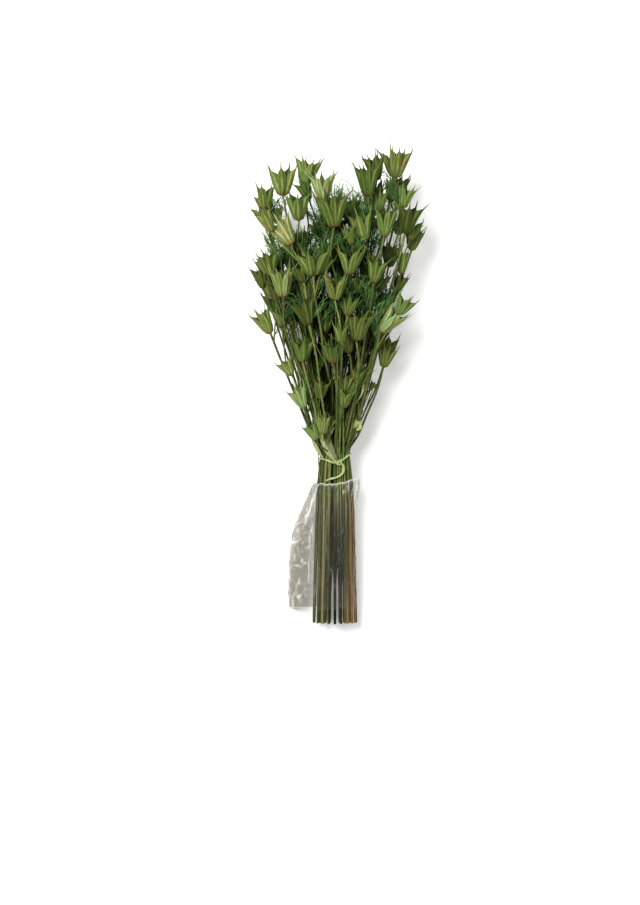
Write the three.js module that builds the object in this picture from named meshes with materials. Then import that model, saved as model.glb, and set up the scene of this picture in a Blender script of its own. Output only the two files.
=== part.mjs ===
// A tied bunch of dried nigella seed heads, lying on its side on a table.
//
// Every plant is one piece: a stem that swells into a seed head of five to seven long follicles,
// joined at the base and spread at the top, each ending in a thin beak. The stems are held by one
// twist of raffia, and their lower ends stand in a loose clear film sleeve.
//
// Millimetres. +Y runs along the bunch from the cut ends to the heads, +Z is up off the table,
// and the raffia crosses the bunch at y = 0 until the finished bunch is moved to its own origin.
import * as THREE from "three";

const { lerp, clamp, degToRad } = THREE.MathUtils;

// --- the bunch ---
const HEAD_END = 330; // highest beak above the raffia
const CUT_END = -175; // cut ends of the stems
const NECK_HEIGHT = 45; // middle of the bunch above the table, at the raffia
const HEADS_HEIGHT = 68; // middle of the bunch above the table, among the heads
const SPREAD_END = 195; // where the bunch reaches its full width
const HALF_WIDTH = 78; // half the full width, between the stems of the outer heads
const FLATTENING = 0.72; // depth of the bunch for its width, as it lies
const BUTT_SLOPE = 0.14; // fall of the stems towards the cut ends
const BUTT_FLARE = 0.27; // how much wider the bunch is at the cut ends than at the raffia
const RING_GAP = 3.75; // spacing of the stems where they are tied
const NECK_RINGS = [1, 6, 12, 18, 20]; // stems in each ring of the tied neck, from the middle out

// --- a stem ---
const STEM_RADIUS = 1.55; // below the raffia
const STEM_TOP_RADIUS = 1.2; // just under the seed head
const STEM_STEP = 26; // length between the rings of a stem

// --- a seed head, as shares of the length of its follicles ---
const CUP = { height: 0.1, ridge: 0.25, groove: 0.19 };
const WAIST = { height: 0.48, ridge: 0.39, groove: 0.24, middle: 0.4 };
const SHOULDER = { height: 0.93, reach: 0.5, half: 0.11 };
const BEAK = { height: 1.38, reach: 0.66 };
const FOLLICLES = [6, 5, 7, 5]; // follicles of one head after another

// --- clear space kept round a plant ---
const STEM_ROOM = 0.35;
const HEAD_ROOM = 1;

// --- raffia and film ---
const NECK_RADIUS = (NECK_RINGS.length - 1) * RING_GAP + STEM_RADIUS;
const RAFFIA_RADIUS = 1;
const TAIL_RADIUS = 1.3;
const RAFFIA_DIP = 3.5; // how far the knot pulls the loop towards the cut ends
const RAFFIA_RISE = 3; // how much higher the loop sits on its right
const TOUCH_GAP = 0.35; // between the raffia and the stems
const FILM_TOP = -27;
const FILM_END = -160;
const FILM_WALL = 0.6;
const FILM_EASE = 1; // slack between the stems and the film
const FILM_FLAP = 24; // reach of the loose fold at its widest
const FILM_FLAP_TURN = degToRad(204); // the fold hangs out to the left and down

// Seed heads that show from above: across, along, lift off the middle of the bunch (1 is its top
// face), follicle length, spread of the follicles, and lean to the right in degrees.
const SHOWN_HEADS = [
  [59, 290, 0.25, 26, 0.95, 4],
  [44, 285, 0.5, 23, 0.88, -6],
  [30, 266, 0.7, 27, 0.85, -6],
  [-54, 269, 0.5, 25, 1.05, -4],
  [-34, 281, 0.3, 24, 1, 14],
  [-73, 258, 0.2, 21, 0.9, -4],
  [-15, 261, 0.95, 24, 1, 0],
  [-34, 241, 0.85, 24, 1, -4],
  [3, 232, 1, 30, 0.9, -6],
  [-38, 217, 0.95, 27, 0.85, -34],
  [21, 240, 0.5, 24, 0.85, -4],
  [32, 221, 0.8, 27, 0.8, -14],
  [50, 225, 0.75, 26, 0.75, 4],
  [68, 230, 0.55, 26, 0.95, 10],
  [78, 216, 0.1, 20, 0.85, 12],
  [71, 190, 0.2, 22, 0.6, 8],
  [-74, 175, 0.3, 20, 0.75, -16],
  [-67, 187, 0.5, 22, 0.9, -8],
  [-46, 164, 0.85, 26, 0.9, -4],
  [-15, 184, 1, 23, 1.25, 0],
  [8, 186, 1, 24, 1, 2],
  [-28, 160, 0.75, 23, 0.85, 2],
  [-4, 159, 1, 21, 1.1, 4],
  [34, 178, 0.8, 22, 0.8, 0],
  [-31, 135, 0.95, 24, 0.85, -14],
  [-17, 129, 0.8, 21, 0.85, 4],
  [17, 120, 1, 27, 0.9, 4],
  [42, 130, 0.7, 26, 0.8, 44],
  [-65, 129, 0.4, 23, 0.8, -28],
  [-30, 99, 0.9, 21, 1, 4],
  [-5, 97, 1, 20, 1.1, 0],
  [11, 68, 1, 17, 0.9, 4],
  [-27, 52, 0.8, 21, 0.85, -24],
  [-9, 26, 1, 18, 0.85, 8],
];

// The other heads fill the middle and the underside, in turns of the golden angle.
const HIDDEN = { size: [19, 24], along: [95, 280], lift: [0.1, -1] };
const GOLDEN_TURN = Math.PI * (3 - Math.sqrt(5));

// Middle of the bunch above the table, at a place along it.
function middle(along) {
  if (along <= 0) return NECK_HEIGHT + BUTT_SLOPE * along;
  return lerp(NECK_HEIGHT, HEADS_HEIGHT, clamp(along / SPREAD_END, 0, 1));
}

// Half width and half depth of the bunch: a cone that rounds over towards the top.
function halfWidth(along) {
  return lerp(NECK_RADIUS, HALF_WIDTH, Math.sin((clamp(along / SPREAD_END, 0, 1) * Math.PI) / 2));
}

function halfDepth(along) {
  return FLATTENING * halfWidth(along);
}

// Places of the stems in the tied neck, ring by ring.
function neckSlots() {
  return NECK_RINGS.flatMap((count, ring) =>
    Array.from({ length: count }, (_, i) => {
      const turn = (2 * Math.PI * (i + 0.5 * (ring % 2))) / count;
      const out = ring * RING_GAP;
      return new THREE.Vector2(out * Math.cos(turn), out * Math.sin(turn));
    }),
  );
}

// One plant before it is eased: where its head should sit, and how it leans.
function plantAt(across, along, lift, size, spread, lean) {
  const inside = Math.sqrt(Math.max(0, 1 - (across / 88) ** 2));
  const height = middle(along) + clamp(lift, -inside, inside) * halfDepth(along);
  const tilt = Math.tan(degToRad(lean));
  const splay = (0.3 * across) / halfWidth(along);
  const slope = new THREE.Vector2(tilt === 0 ? splay : tilt, 0.3 * lift);
  return { along, size, spread, slope, head: new THREE.Vector2(across, height) };
}

function allPlants() {
  const shown = SHOWN_HEADS.map((row) => plantAt(...row));
  const rest = neckSlots().length - shown.length;
  const hidden = Array.from({ length: rest }, (_, i) => {
    const share = (i + 0.5) / rest;
    const along = lerp(...HIDDEN.along, (i * 0.618) % 1);
    const across = 0.78 * halfWidth(along) * Math.cos(i * GOLDEN_TURN);
    const size = lerp(...HIDDEN.size, (i * 0.382) % 1);
    return plantAt(across, along, lerp(...HIDDEN.lift, share), size, 0.9, 0);
  });
  return [...shown, ...hidden];
}

// Each stem takes the place in the neck that lies on the side it leans to, so that no two cross.
function takeSlots(plants) {
  const slots = neckSlots();
  const pull = plants.map((p) =>
    new THREE.Vector2(p.head.x, p.head.y - NECK_HEIGHT).divideScalar(p.along + 40),
  );
  const taken = plants.map((_, i) => i);
  for (let swapped = true; swapped; ) {
    swapped = false;
    for (let i = 0; i < plants.length; i++)
      for (let j = i + 1; j < plants.length; j++) {
        const between = slots[taken[i]].clone().sub(slots[taken[j]]);
        if (between.dot(pull[i].clone().sub(pull[j])) >= -1e-9) continue;
        [taken[i], taken[j]] = [taken[j], taken[i]];
        swapped = true;
      }
  }
  plants.forEach((p, i) => (p.slot = slots[taken[i]]));
}

// Room that a plant needs round its line, at a height along the bunch.
function roomAt(plant, along) {
  const up = (along - plant.along) / plant.size;
  const slant = Math.hypot(1, plant.slope.length());
  if (up < -0.15) return STEM_RADIUS * slant + STEM_ROOM;
  if (up > BEAK.height + 0.2) return 0;
  const reach = up < 1 ? lerp(0.28, 0.48, clamp(up, 0, 1)) : BEAK.reach - 0.04;
  return plant.size * plant.spread * slant * reach + HEAD_ROOM;
}

// The plant's line at a height: its eased stem, and above that the straight line of its head.
function pointAt(plant, along) {
  const last = plant.line.length - 1;
  const step = clamp(along, 0, plant.along) / plant.along;
  const below = Math.min(last - 1, Math.floor(step * last));
  const point = plant.line[below].clone().lerp(plant.line[below + 1], step * last - below);
  return point.addScaledVector(plant.slope, Math.max(0, along - plant.along));
}

// Moves the plant's line sideways near a height. The tied end stays where it is.
function nudge(plant, along, push) {
  const last = plant.line.length - 1;
  const place = (clamp(along, 0, plant.along) / plant.along) * last;
  plant.line.forEach((point, k) => {
    const share = Math.max(0, 1 - Math.abs(place - k) / 1.5);
    if (k > 0) point.addScaledVector(push, share);
  });
}

// Eases the plants apart until none touches another, as the stiff stems do when they are tied.
function easeApart(plants) {
  const EASE_STEP = 6;
  const ROUNDS = 600;
  for (const p of plants) {
    const steps = Math.max(2, Math.round(p.along / STEM_STEP));
    p.line = Array.from({ length: steps + 1 }, (_, k) => p.slot.clone()
      .add(new THREE.Vector2(0, NECK_HEIGHT)).lerp(p.head, k / steps));
  }
  for (let round = 0; round < ROUNDS; round++) {
    const firm = round > ROUNDS * 0.75; // the last rounds only part what still touches
    for (const p of plants) {
      const last = p.line.length - 1;
      const stride = p.along / last;
      for (let k = 1; k <= last; k++) {
        const next = k < last ? p.line[k + 1] : p.line[k].clone().addScaledVector(p.slope, stride);
        const between = p.line[k - 1].clone().add(next).multiplyScalar(0.5);
        p.line[k].lerp(between, firm ? 0 : 0.25);
      }
      p.line[last].lerp(p.head, firm ? 0 : 0.35);
    }
    for (let along = EASE_STEP; along < HEAD_END + 20; along += EASE_STEP) {
      const here = plants
        .map((plant) => ({ plant, room: roomAt(plant, along), point: pointAt(plant, along) }))
        .filter((p) => p.room > 0);
      here.forEach((a, i) => {
        const floor = a.room - HEAD_ROOM - a.point.y;
        if (floor > 0) nudge(a.plant, along, new THREE.Vector2(0, floor * 0.5));
        for (const b of here.slice(i + 1)) {
          const apart = b.point.clone().sub(a.point);
          const gap = a.room + b.room - apart.length();
          if (gap <= 0) continue;
          apart.setLength(gap * (firm ? 0.45 : 0.3));
          nudge(b.plant, along, apart);
          nudge(a.plant, along, apart.clone().negate());
        }
      });
    }
  }
}

// Points of a plant's stem from the cut end to the head, as [x, y, z].
function stemRoute(plant) {
  const butt = [CUT_END, CUT_END / 2, -8].map((along) => {
    const wide = 1 + (BUTT_FLARE * along) / CUT_END;
    const { x, y } = plant.slot;
    return new THREE.Vector3(wide * x, along, middle(along) + wide * y);
  });
  const last = plant.line.length - 1;
  const top = plant.line.map(
    ({ x, y }, k) => new THREE.Vector3(x, (plant.along * k) / last, y),
  );
  top[0].y = 8;
  return [...butt, ...top];
}

// One closed surface: n-sided rings up the stem, ribbed rings up the cup of the head, and one
// four-sided horn for each follicle, drawn out into its beak.
function plantGeometry(plant, sides) {
  const points = [];
  const faces = [];
  const add = (point) => points.push(point) - 1;
  const quad = (a, b, c, d) => faces.push([a, b, c], [a, c, d]);
  const route = stemRoute(plant);
  const base = route[route.length - 1];
  const axis = new THREE.Vector3(plant.slope.x, 1, plant.slope.y).normalize();
  const right = new THREE.Vector3(1, 0, 0).addScaledVector(axis, -axis.x).normalize();
  const front = right.clone().cross(axis);
  const turn = (i) => (2 * Math.PI * (i + 0.25)) / sides;
  const side = (r) => (r + sides) % sides;

  const rings = route.map((centre, k) => {
    const radius = lerp(STEM_RADIUS, STEM_TOP_RADIUS, k / (route.length - 1));
    const across = k === route.length - 1 ? right : new THREE.Vector3(1, 0, 0);
    const over = k === route.length - 1 ? front : new THREE.Vector3(0, 0, 1);
    return Array.from({ length: sides }, (_, i) =>
      add(
        centre
          .clone()
          .addScaledVector(across, radius * Math.cos(turn(i)))
          .addScaledVector(over, radius * Math.sin(turn(i))),
      ),
    );
  });
  const foot = add(route[0].clone());
  for (let i = 0; i < sides; i++) {
    const next = side(i + 1);
    faces.push([foot, rings[0][i], rings[0][next]]);
    for (let k = 1; k < rings.length; k++)
      quad(rings[k - 1][i], rings[k][i], rings[k][next], rings[k - 1][next]);
  }

  // A point of the head at an angle about its axis, in shares of the follicle length.
  const onHead = (height, reach, angle) =>
    add(
      base
        .clone()
        .addScaledVector(axis, plant.size * height)
        .addScaledVector(right, plant.size * plant.spread * reach * Math.cos(angle))
        .addScaledVector(front, plant.size * plant.spread * reach * Math.sin(angle)),
    );
  const halfTurn = Math.PI / sides;
  const ribbed = ({ height, ridge, groove }) =>
    Array.from({ length: sides }, (_, i) => ({
      ridge: onHead(height, ridge, turn(i)),
      groove: onHead(height, groove, turn(i) + halfTurn),
    }));
  const cup = ribbed(CUP);
  const waist = ribbed(WAIST);
  const heart = onHead(WAIST.middle, 0, 0);
  const top = rings[rings.length - 1];
  for (let i = 0; i < sides; i++) {
    const next = side(i + 1);
    const before = side(i - 1);
    faces.push([top[i], cup[i].ridge, cup[i].groove]);
    faces.push([top[i], cup[i].groove, top[next]]);
    faces.push([top[next], cup[i].groove, cup[next].ridge]);
    quad(cup[i].ridge, waist[i].ridge, waist[i].groove, cup[i].groove);
    quad(cup[i].groove, waist[i].groove, waist[next].ridge, cup[next].ridge);
    const { height, reach, half } = SHOULDER;
    const swing = half / reach;
    const horn = [
      onHead(height, reach, turn(i) - swing),
      onHead(height, reach + half, turn(i)),
      onHead(height, reach, turn(i) + swing),
      onHead(height, reach - half, turn(i)),
    ];
    const root = [waist[before].groove, waist[i].ridge, waist[i].groove, heart];
    const beak = onHead(BEAK.height, BEAK.reach, turn(i));
    for (let c = 0; c < 4; c++) {
      const d = (c + 1) % 4;
      quad(root[c], horn[c], horn[d], root[d]);
      faces.push([horn[c], beak, horn[d]]);
    }
  }
  const geometry = new THREE.BufferGeometry().setFromPoints(points);
  return geometry.setIndex(faces.flat());
}

// The raffia's line round the neck: a loop that the knot pulls down at the top of the bunch.
function raffiaPoint(turn, out) {
  const pulled = Math.max(0, Math.sin(turn)) ** 6;
  return new THREE.Vector3(
    out * Math.cos(turn),
    RAFFIA_RISE * Math.cos(turn) - RAFFIA_DIP * pulled,
    middle(-4) + out * Math.sin(turn),
  );
}

const RAFFIA_LOOP_RADIUS = NECK_RADIUS + TOUCH_GAP + RAFFIA_RADIUS;

// The loop thickens at the top of the bunch into the knot.
function raffiaLoopGeometry() {
  const AROUND = 32;
  const geometry = new THREE.TorusGeometry(RAFFIA_LOOP_RADIUS, RAFFIA_RADIUS, 8, AROUND);
  const place = geometry.getAttribute("position");
  const v = new THREE.Vector3();
  for (let i = 0; i < place.count; i++) {
    v.fromBufferAttribute(place, i);
    const turn = Math.atan2(v.y, v.x);
    const knot = Math.exp(-(((turn - Math.PI / 2) / 0.16) ** 2));
    const out = Math.hypot(v.x, v.y) - RAFFIA_LOOP_RADIUS;
    const swell = 1 + 1.1 * knot;
    const at = raffiaPoint(turn, RAFFIA_LOOP_RADIUS + out * swell + 1.1 * RAFFIA_RADIUS * knot);
    place.setXYZ(i, at.x, at.y - v.z * swell, at.z);
  }
  return geometry;
}

// The free end of the raffia: out of the knot, over to the right, and back down to the left.
const TAIL_ROUTE = [
  [5.4, -4.6],
  [8, -7.2],
  [9, -11],
  [8, -15],
  [4.6, -18.4],
  [0, -20.4],
  [-4.8, -21.6],
  [-8.8, -23.4],
];

// Height of the top of the stems above the table, beside the middle line of the bunch.
function stemTops(across, along) {
  const radius = (NECK_RADIUS + 0.1) * (1 + (BUTT_FLARE * along) / CUT_END);
  return middle(along) + Math.sqrt(Math.max(0, radius ** 2 - across ** 2));
}

function raffiaTailGeometry() {
  const lift = TOUCH_GAP + TAIL_RADIUS;
  const route = TAIL_ROUTE.map(([x, y]) => new THREE.Vector3(x, y, stemTops(x, y) + lift));
  const section = new THREE.Shape(
    Array.from({ length: 8 }, (_, i) => {
      const turn = (2 * Math.PI * i) / 8;
      return new THREE.Vector2(
        TAIL_RADIUS * Math.cos(turn),
        TAIL_RADIUS * Math.sin(turn),
      );
    }),
  );
  return new THREE.ExtrudeGeometry(section, {
    steps: 18,
    extrudePath: new THREE.CatmullRomCurve3(route),
  });
}

// The film: a thin wall round the stems that opens on one side into a loose hanging fold. The
// wall is a closed profile, inner line up and outer line down, carried round the bunch.
function filmGeometry() {
  const AROUND = 34;
  const LEVELS = 5;
  const profile = [];
  for (let k = 0; k <= LEVELS; k++) profile.push(new THREE.Vector2(0, k / LEVELS));
  for (let k = LEVELS; k >= 0; k--) profile.push(new THREE.Vector2(1, k / LEVELS));
  const points = [];
  for (let i = 0; i < AROUND; i++) {
    const turn = (2 * Math.PI * i) / AROUND;
    const off = Math.atan2(Math.sin(turn - FILM_FLAP_TURN), Math.cos(turn - FILM_FLAP_TURN));
    for (const { x: outer, y: share } of profile) {
      const along = lerp(FILM_TOP, FILM_END, share);
      const stems = NECK_RADIUS * (1 + (BUTT_FLARE * along) / CUT_END);
      const fold = FILM_FLAP * Math.sin(Math.min(1, 1.6 * share + 0.12) * 1.45);
      const flap = fold * Math.exp(-((off / 0.34) ** 2));
      const out = stems + FILM_EASE + flap + outer * FILM_WALL;
      const height = middle(along) + out * Math.sin(turn);
      const table = (1 - outer) * FILM_WALL;
      points.push(new THREE.Vector3(out * Math.cos(turn), along, Math.max(height, table)));
    }
  }
  const faces = [];
  const across = profile.length;
  for (let i = 0; i < AROUND; i++)
    for (let k = 0; k < across; k++) {
      const j = (i + 1) % AROUND;
      const l = (k + 1) % across;
      const [a, b, c, d] = [i * across + k, i * across + l, j * across + l, j * across + k];
      faces.push(a, b, c, a, c, d);
    }
  return new THREE.BufferGeometry().setFromPoints(points).setIndex(faces);
}

const SEED_STEM = { color: 0x7f8f4a, roughness: 0.72, metalness: 0 };
const RAFFIA = { color: 0xa9b678, roughness: 0.65, metalness: 0 };
const FILM = { color: 0xdfe3e0, roughness: 0.15, metalness: 0, transparent: true, opacity: 0.35 };

function piece(name, geometry, look) {
  const mesh = new THREE.Mesh(geometry, new THREE.MeshStandardMaterial(look));
  mesh.name = name;
  return mesh;
}

const bunch = new THREE.Group();
const plants = allPlants();
takeSlots(plants);
easeApart(plants);
plants.forEach((plant, i) => {
  const name = "seed_stem_" + String(i + 1).padStart(2, "0");
  bunch.add(piece(name, plantGeometry(plant, FOLLICLES[i % FOLLICLES.length]), SEED_STEM));
});
bunch.add(piece("raffia_loop", raffiaLoopGeometry(), RAFFIA));
bunch.add(piece("raffia_tail", raffiaTailGeometry(), RAFFIA));
bunch.add(piece("film_sleeve", filmGeometry(), FILM));

// The origin is on the table under the middle of the bunch.
const box = new THREE.Box3().setFromObject(bunch, true);
const centre = box.getCenter(new THREE.Vector3());
bunch.position.set(-centre.x, -centre.y, -box.min.z);

export default bunch;
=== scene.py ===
# A tied bunch of dried nigella seed heads, lying on a table with its lower stems in clear film.
#
# Metres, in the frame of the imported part: +Y runs from the cut ends to the heads and +Z is up off
# the table. Every plant follows the line, the head and the beak tips of its own node.
import math
import random

import bpy
from mathutils import Matrix, Vector
from mathutils import noise as crumple


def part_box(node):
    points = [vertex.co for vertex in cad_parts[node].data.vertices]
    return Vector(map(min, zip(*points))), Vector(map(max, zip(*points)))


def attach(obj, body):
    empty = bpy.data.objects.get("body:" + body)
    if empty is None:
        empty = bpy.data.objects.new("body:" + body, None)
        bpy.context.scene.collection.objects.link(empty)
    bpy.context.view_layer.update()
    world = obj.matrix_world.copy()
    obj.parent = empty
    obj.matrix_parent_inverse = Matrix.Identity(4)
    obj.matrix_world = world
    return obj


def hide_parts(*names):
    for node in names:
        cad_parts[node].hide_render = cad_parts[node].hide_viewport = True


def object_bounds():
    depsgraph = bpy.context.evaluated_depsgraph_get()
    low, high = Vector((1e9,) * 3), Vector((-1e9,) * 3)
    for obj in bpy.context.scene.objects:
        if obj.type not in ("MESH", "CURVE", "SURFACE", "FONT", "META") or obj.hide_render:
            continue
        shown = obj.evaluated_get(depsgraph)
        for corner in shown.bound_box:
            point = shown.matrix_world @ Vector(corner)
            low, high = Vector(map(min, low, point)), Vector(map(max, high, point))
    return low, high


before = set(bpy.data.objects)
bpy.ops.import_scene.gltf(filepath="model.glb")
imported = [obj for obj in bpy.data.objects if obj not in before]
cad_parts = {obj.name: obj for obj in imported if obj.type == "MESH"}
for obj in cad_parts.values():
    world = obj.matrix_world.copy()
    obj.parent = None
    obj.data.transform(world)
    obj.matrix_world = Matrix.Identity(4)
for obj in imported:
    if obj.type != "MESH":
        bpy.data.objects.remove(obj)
cad_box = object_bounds()

# --- The camera -------------------------------------------------------------------------------
# It looks straight down on the bunch, from far enough off that the heads don't loom over the
# neck. The tied neck is a little right of the middle and just below it.
loop_low, loop_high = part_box("raffia_loop")
neck = (loop_low + loop_high) / 2
CAMERA_HEIGHT = 1.9
CAMERA_LEFT_OF_NECK = 0.0157
CAMERA_PAST_NECK = 0.0068
VIEW_LENGTH = 0.952
SENSOR_MM = 36

camera_place = (neck.x - CAMERA_LEFT_OF_NECK, neck.y + CAMERA_PAST_NECK, CAMERA_HEIGHT)
bpy.ops.object.camera_add(location=camera_place, rotation=(0, 0, 0))
camera = bpy.context.object
camera.name = "camera"
camera.data.sensor_width = SENSOR_MM
camera.data.lens = SENSOR_MM * (CAMERA_HEIGHT - neck.z) / VIEW_LENGTH
bpy.context.scene.camera = camera

# The middle of the stems, where the raffia goes round them.
TIE = Vector((-0.0019, -0.0761, 0.0444))

# --- The free end of the raffia ---------------------------------------------------------------
# Raffia is a strip of palm leaf, here folded lengthwise into a soft ribbed strand. It comes out
# of the knot, turns over to the right and lies back over the stems to the rim of the film.
TAIL_ROUTE = [
    (0.0035, -0.0807, 0.0617),
    (0.0061, -0.0833, 0.0603),
    (0.0071, -0.0871, 0.0593),
    (0.0061, -0.0911, 0.0594),
    (0.0027, -0.0945, 0.0604),
    (-0.0019, -0.0965, 0.0608),
    (-0.0067, -0.0977, 0.0600),
    (-0.0107, -0.0995, 0.0580),
]


def through(points, steps):
    """A smooth line that passes through every point, with so many steps between two of them."""
    points = [Vector(p) for p in points]
    ends = [2 * points[0] - points[1], *points, 2 * points[-1] - points[-2]]
    line = []
    for a, b, c, d in zip(ends, ends[1:], ends[2:], ends[3:]):
        for step in range(steps):
            t = step / steps
            line.append(0.5 * (
                2 * b + (c - a) * t + (2 * a - 5 * b + 4 * c - d) * t**2
                + (3 * b - a - 3 * c + d) * t**3
            ))
    return line + [points[-1]]


def section(name, radii):
    """The outline that a strand is drawn along its line with: one point for each radius."""
    bpy.ops.curve.primitive_nurbs_circle_add(radius=1)
    outline = bpy.context.object
    outline.name = name
    outline.data.splines.clear()
    ring = outline.data.splines.new("POLY")
    ring.points.add(len(radii) - 1)
    for i, (point, radius) in enumerate(zip(ring.points, radii)):
        turn = 2 * math.pi * i / len(radii)
        point.co = (radius * math.cos(turn), radius * math.sin(turn), 0, 1)
    ring.use_cyclic_u = True
    outline.data.dimensions = "2D"
    outline.data.fill_mode = "NONE"
    return outline


def strand(name, line, radii, outline, turns=0.0):
    """A closed tube along a line, as a mesh. radii scale the outline and turns twist it."""
    bpy.ops.object.select_all(action="DESELECT")
    bpy.ops.curve.primitive_nurbs_path_add(location=(0, 0, 0))
    piece = bpy.context.object
    piece.name = name
    curve = piece.data
    curve.splines.clear()
    spline = curve.splines.new("POLY")
    spline.points.add(len(line) - 1)
    for i, (point, place) in enumerate(zip(spline.points, line)):
        share = i / (len(line) - 1)
        point.co = (*place, 1)
        at = share * (len(radii) - 1)
        low = min(int(at), len(radii) - 2)
        point.radius = radii[low] + (radii[low + 1] - radii[low]) * (at - low)
        point.tilt = turns * 2 * math.pi * share
    curve.dimensions = "3D"
    curve.bevel_mode = "OBJECT"
    curve.bevel_object = outline
    curve.use_fill_caps = True
    curve.twist_mode = "MINIMUM"
    bpy.ops.object.convert(target="MESH")
    bpy.ops.object.shade_smooth()
    return piece


def noise(nodes, links, vector, scale, detail=4.0, roughness=0.55):
    """A noise texture read at a vector."""
    texture = nodes.new("ShaderNodeTexNoise")
    texture.inputs["Scale"].default_value = scale
    texture.inputs["Detail"].default_value = detail
    texture.inputs["Roughness"].default_value = roughness
    links.new(vector, texture.inputs["Vector"])
    return texture.outputs["Fac"]


def ramp(nodes, links, value, stops):
    """A colour ramp on a value, from (place, colour) stops."""
    colours = nodes.new("ShaderNodeValToRGB")
    band = colours.color_ramp
    while len(band.elements) < len(stops):
        band.elements.new(0.5)
    for element, (place, colour) in zip(band.elements, stops):
        element.position = place
        element.color = (*colour, 1)
    links.new(value, colours.inputs["Fac"])
    return colours.outputs["Color"]


def stretched(nodes, links, source, scale):
    """Coordinates scaled along each axis, so that a pattern runs the other way."""
    mapping = nodes.new("ShaderNodeMapping")
    mapping.inputs["Scale"].default_value = scale
    links.new(source, mapping.inputs["Vector"])
    return mapping.outputs["Vector"]


def calculated(nodes, links, how, first, second):
    """The result of an operation on two values. Each is a socket or a plain number."""
    node = nodes.new("ShaderNodeMath")
    node.operation = how
    for socket, value in zip(node.inputs, (first, second)):
        if isinstance(value, bpy.types.NodeSocket):
            links.new(value, socket)
        else:
            socket.default_value = value
    return node.outputs[0]


def bumped(nodes, links, shader, height, strength, distance):
    """Raises the surface of a shader by a height."""
    bump = nodes.new("ShaderNodeBump")
    bump.inputs["Strength"].default_value = strength
    bump.inputs["Distance"].default_value = distance
    links.new(height, bump.inputs["Height"])
    links.new(bump.outputs["Normal"], shader.inputs["Normal"])


def new_material(name, roughness, sheen=0.07):
    """A material with its Principled shader, nodes and links."""
    material = bpy.data.materials.new(name)
    material.use_nodes = True
    nodes, links = material.node_tree.nodes, material.node_tree.links
    shader = nodes["Principled BSDF"]
    shader.inputs["Roughness"].default_value = roughness
    shader.inputs["Specular IOR Level"].default_value = sheen
    return material, shader, nodes, links


def raffia_material():
    """Pale green palm fibre with fine lengthwise threads and a faint gloss."""
    material, shader, nodes, links = new_material("raffia", 0.5, 0.35)
    place = nodes.new("ShaderNodeTexCoord").outputs["Object"]
    fibres = noise(nodes, links, stretched(nodes, links, place, (1400, 500, 900)), 1.0)
    patches = noise(nodes, links, place, 160)
    both = calculated(nodes, links, "ADD", fibres, patches)
    mixed = calculated(nodes, links, "MULTIPLY", both, 0.5)
    colour = ramp(nodes, links, mixed, [
        (0.3, (0.15, 0.2, 0.065)), (0.5, (0.33, 0.4, 0.16)), (0.7, (0.56, 0.64, 0.31)),
    ])
    links.new(colour, shader.inputs["Base Color"])
    bumped(nodes, links, shader, fibres, 0.5, 0.0003)
    return material


raffia = raffia_material()
raffia_outline = section("raffia_outline", [1, 0.82, 0.92, 0.72, 0.8, 0.72, 0.92, 0.82] * 2)
tail_line = through(TAIL_ROUTE, 6)
tail_radii = [0.0011, 0.0015, 0.0016, 0.0015, 0.0014, 0.0015, 0.001]
raffia_tail = strand("raffia_end", tail_line, tail_radii, raffia_outline, turns=0.4)
raffia_tail.data.materials.append(raffia)
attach(raffia_tail, "root")
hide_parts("raffia_tail")

# --- The plants' lines ------------------------------------------------------------------------
# Each plant's node is read once: the middle of its stem ring by ring, and the base, the axis and
# the beak tips of its seed head. All that is modelled below follows these.
BEAK_REACH = 0.66
BEAK_HEIGHT = 1.38
SAME_RING = 0.00005
FEWEST_SIDES = 5
STEM_WIDEST = 0.002
HEAD_RINGS = 9


def middle_of(points):
    return sum(points, Vector()) / len(points)


def read_plant(node):
    """The line of a plant's stem and the base, axis, beak tips and size of its seed head."""
    corners = {tuple(round(c, 6) for c in v.co): v.co.copy() for v in node.data.vertices}
    points = sorted(corners.values(), key=lambda p: p.y)
    line, ring = [], []
    for i, point in enumerate(points):
        if ring and point.y - ring[0].y > SAME_RING:
            centre = middle_of(ring)
            if len(ring) >= FEWEST_SIDES and max((p - centre).length for p in ring) < STEM_WIDEST:
                line.append(centre)
                top, sides = i, len(ring)
            ring = []
        ring.append(point)
    if len(points) - top == HEAD_RINGS * sides + 1:  # the head's lowest ring was taken for stem
        line.pop()
        top -= sides
    head = points[top:]
    axis = (middle_of(head) - line[-1]).normalized()
    for _ in range(3):
        head.sort(key=lambda p: p.dot(axis))
        base, tips = middle_of(head[:sides]), head[-sides:]
        axis = (middle_of(tips) - base).normalized()
    line.append(base)
    size = (middle_of(tips) - base).length / BEAK_HEIGHT
    return {"line": line, "base": base, "axis": axis, "tips": tips, "size": size}


stem_nodes = sorted(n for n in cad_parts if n.startswith("seed_stem"))
plants = [read_plant(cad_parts[n]) for n in stem_nodes]

# --- A seed follicle --------------------------------------------------------------------------
# The dry fruit is five to seven ribbed, papery follicles, joined below and free above, each split
# down its inner seam and ending in a thin beak. One is drawn up ring by ring from its foot, in a
# few forms, and every follicle of the bunch is a copy of one of them.
RIBS = [  # round from the back, through the seam
    1.1, 0.96, 0.94, 1.06, 0.94, 1.05, 0.94, 1.04, 0.8, 1.04, 0.94, 1.05, 0.94, 1.06, 0.94, 0.96]
FOLLICLE_LENGTH = 0.025
FOLLICLE_RINGS = [  # height, inner edge, outer edge and half width, as shares of the length
    (0.00, 0.000, 0.100, 0.045),
    (0.07, 0.010, 0.228, 0.108),
    (0.30, 0.016, 0.328, 0.160),
    (0.64, 0.092, 0.437, 0.160),
    (0.91, 0.200, 0.512, 0.117),
    (1.05, 0.492, 0.566, 0.028),
    (1.38, 0.646, 0.670, 0.012),
]
SEAM = 8
OPENS_ABOVE = 0.42
SPLIT_ABOVE = 0.6


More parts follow.
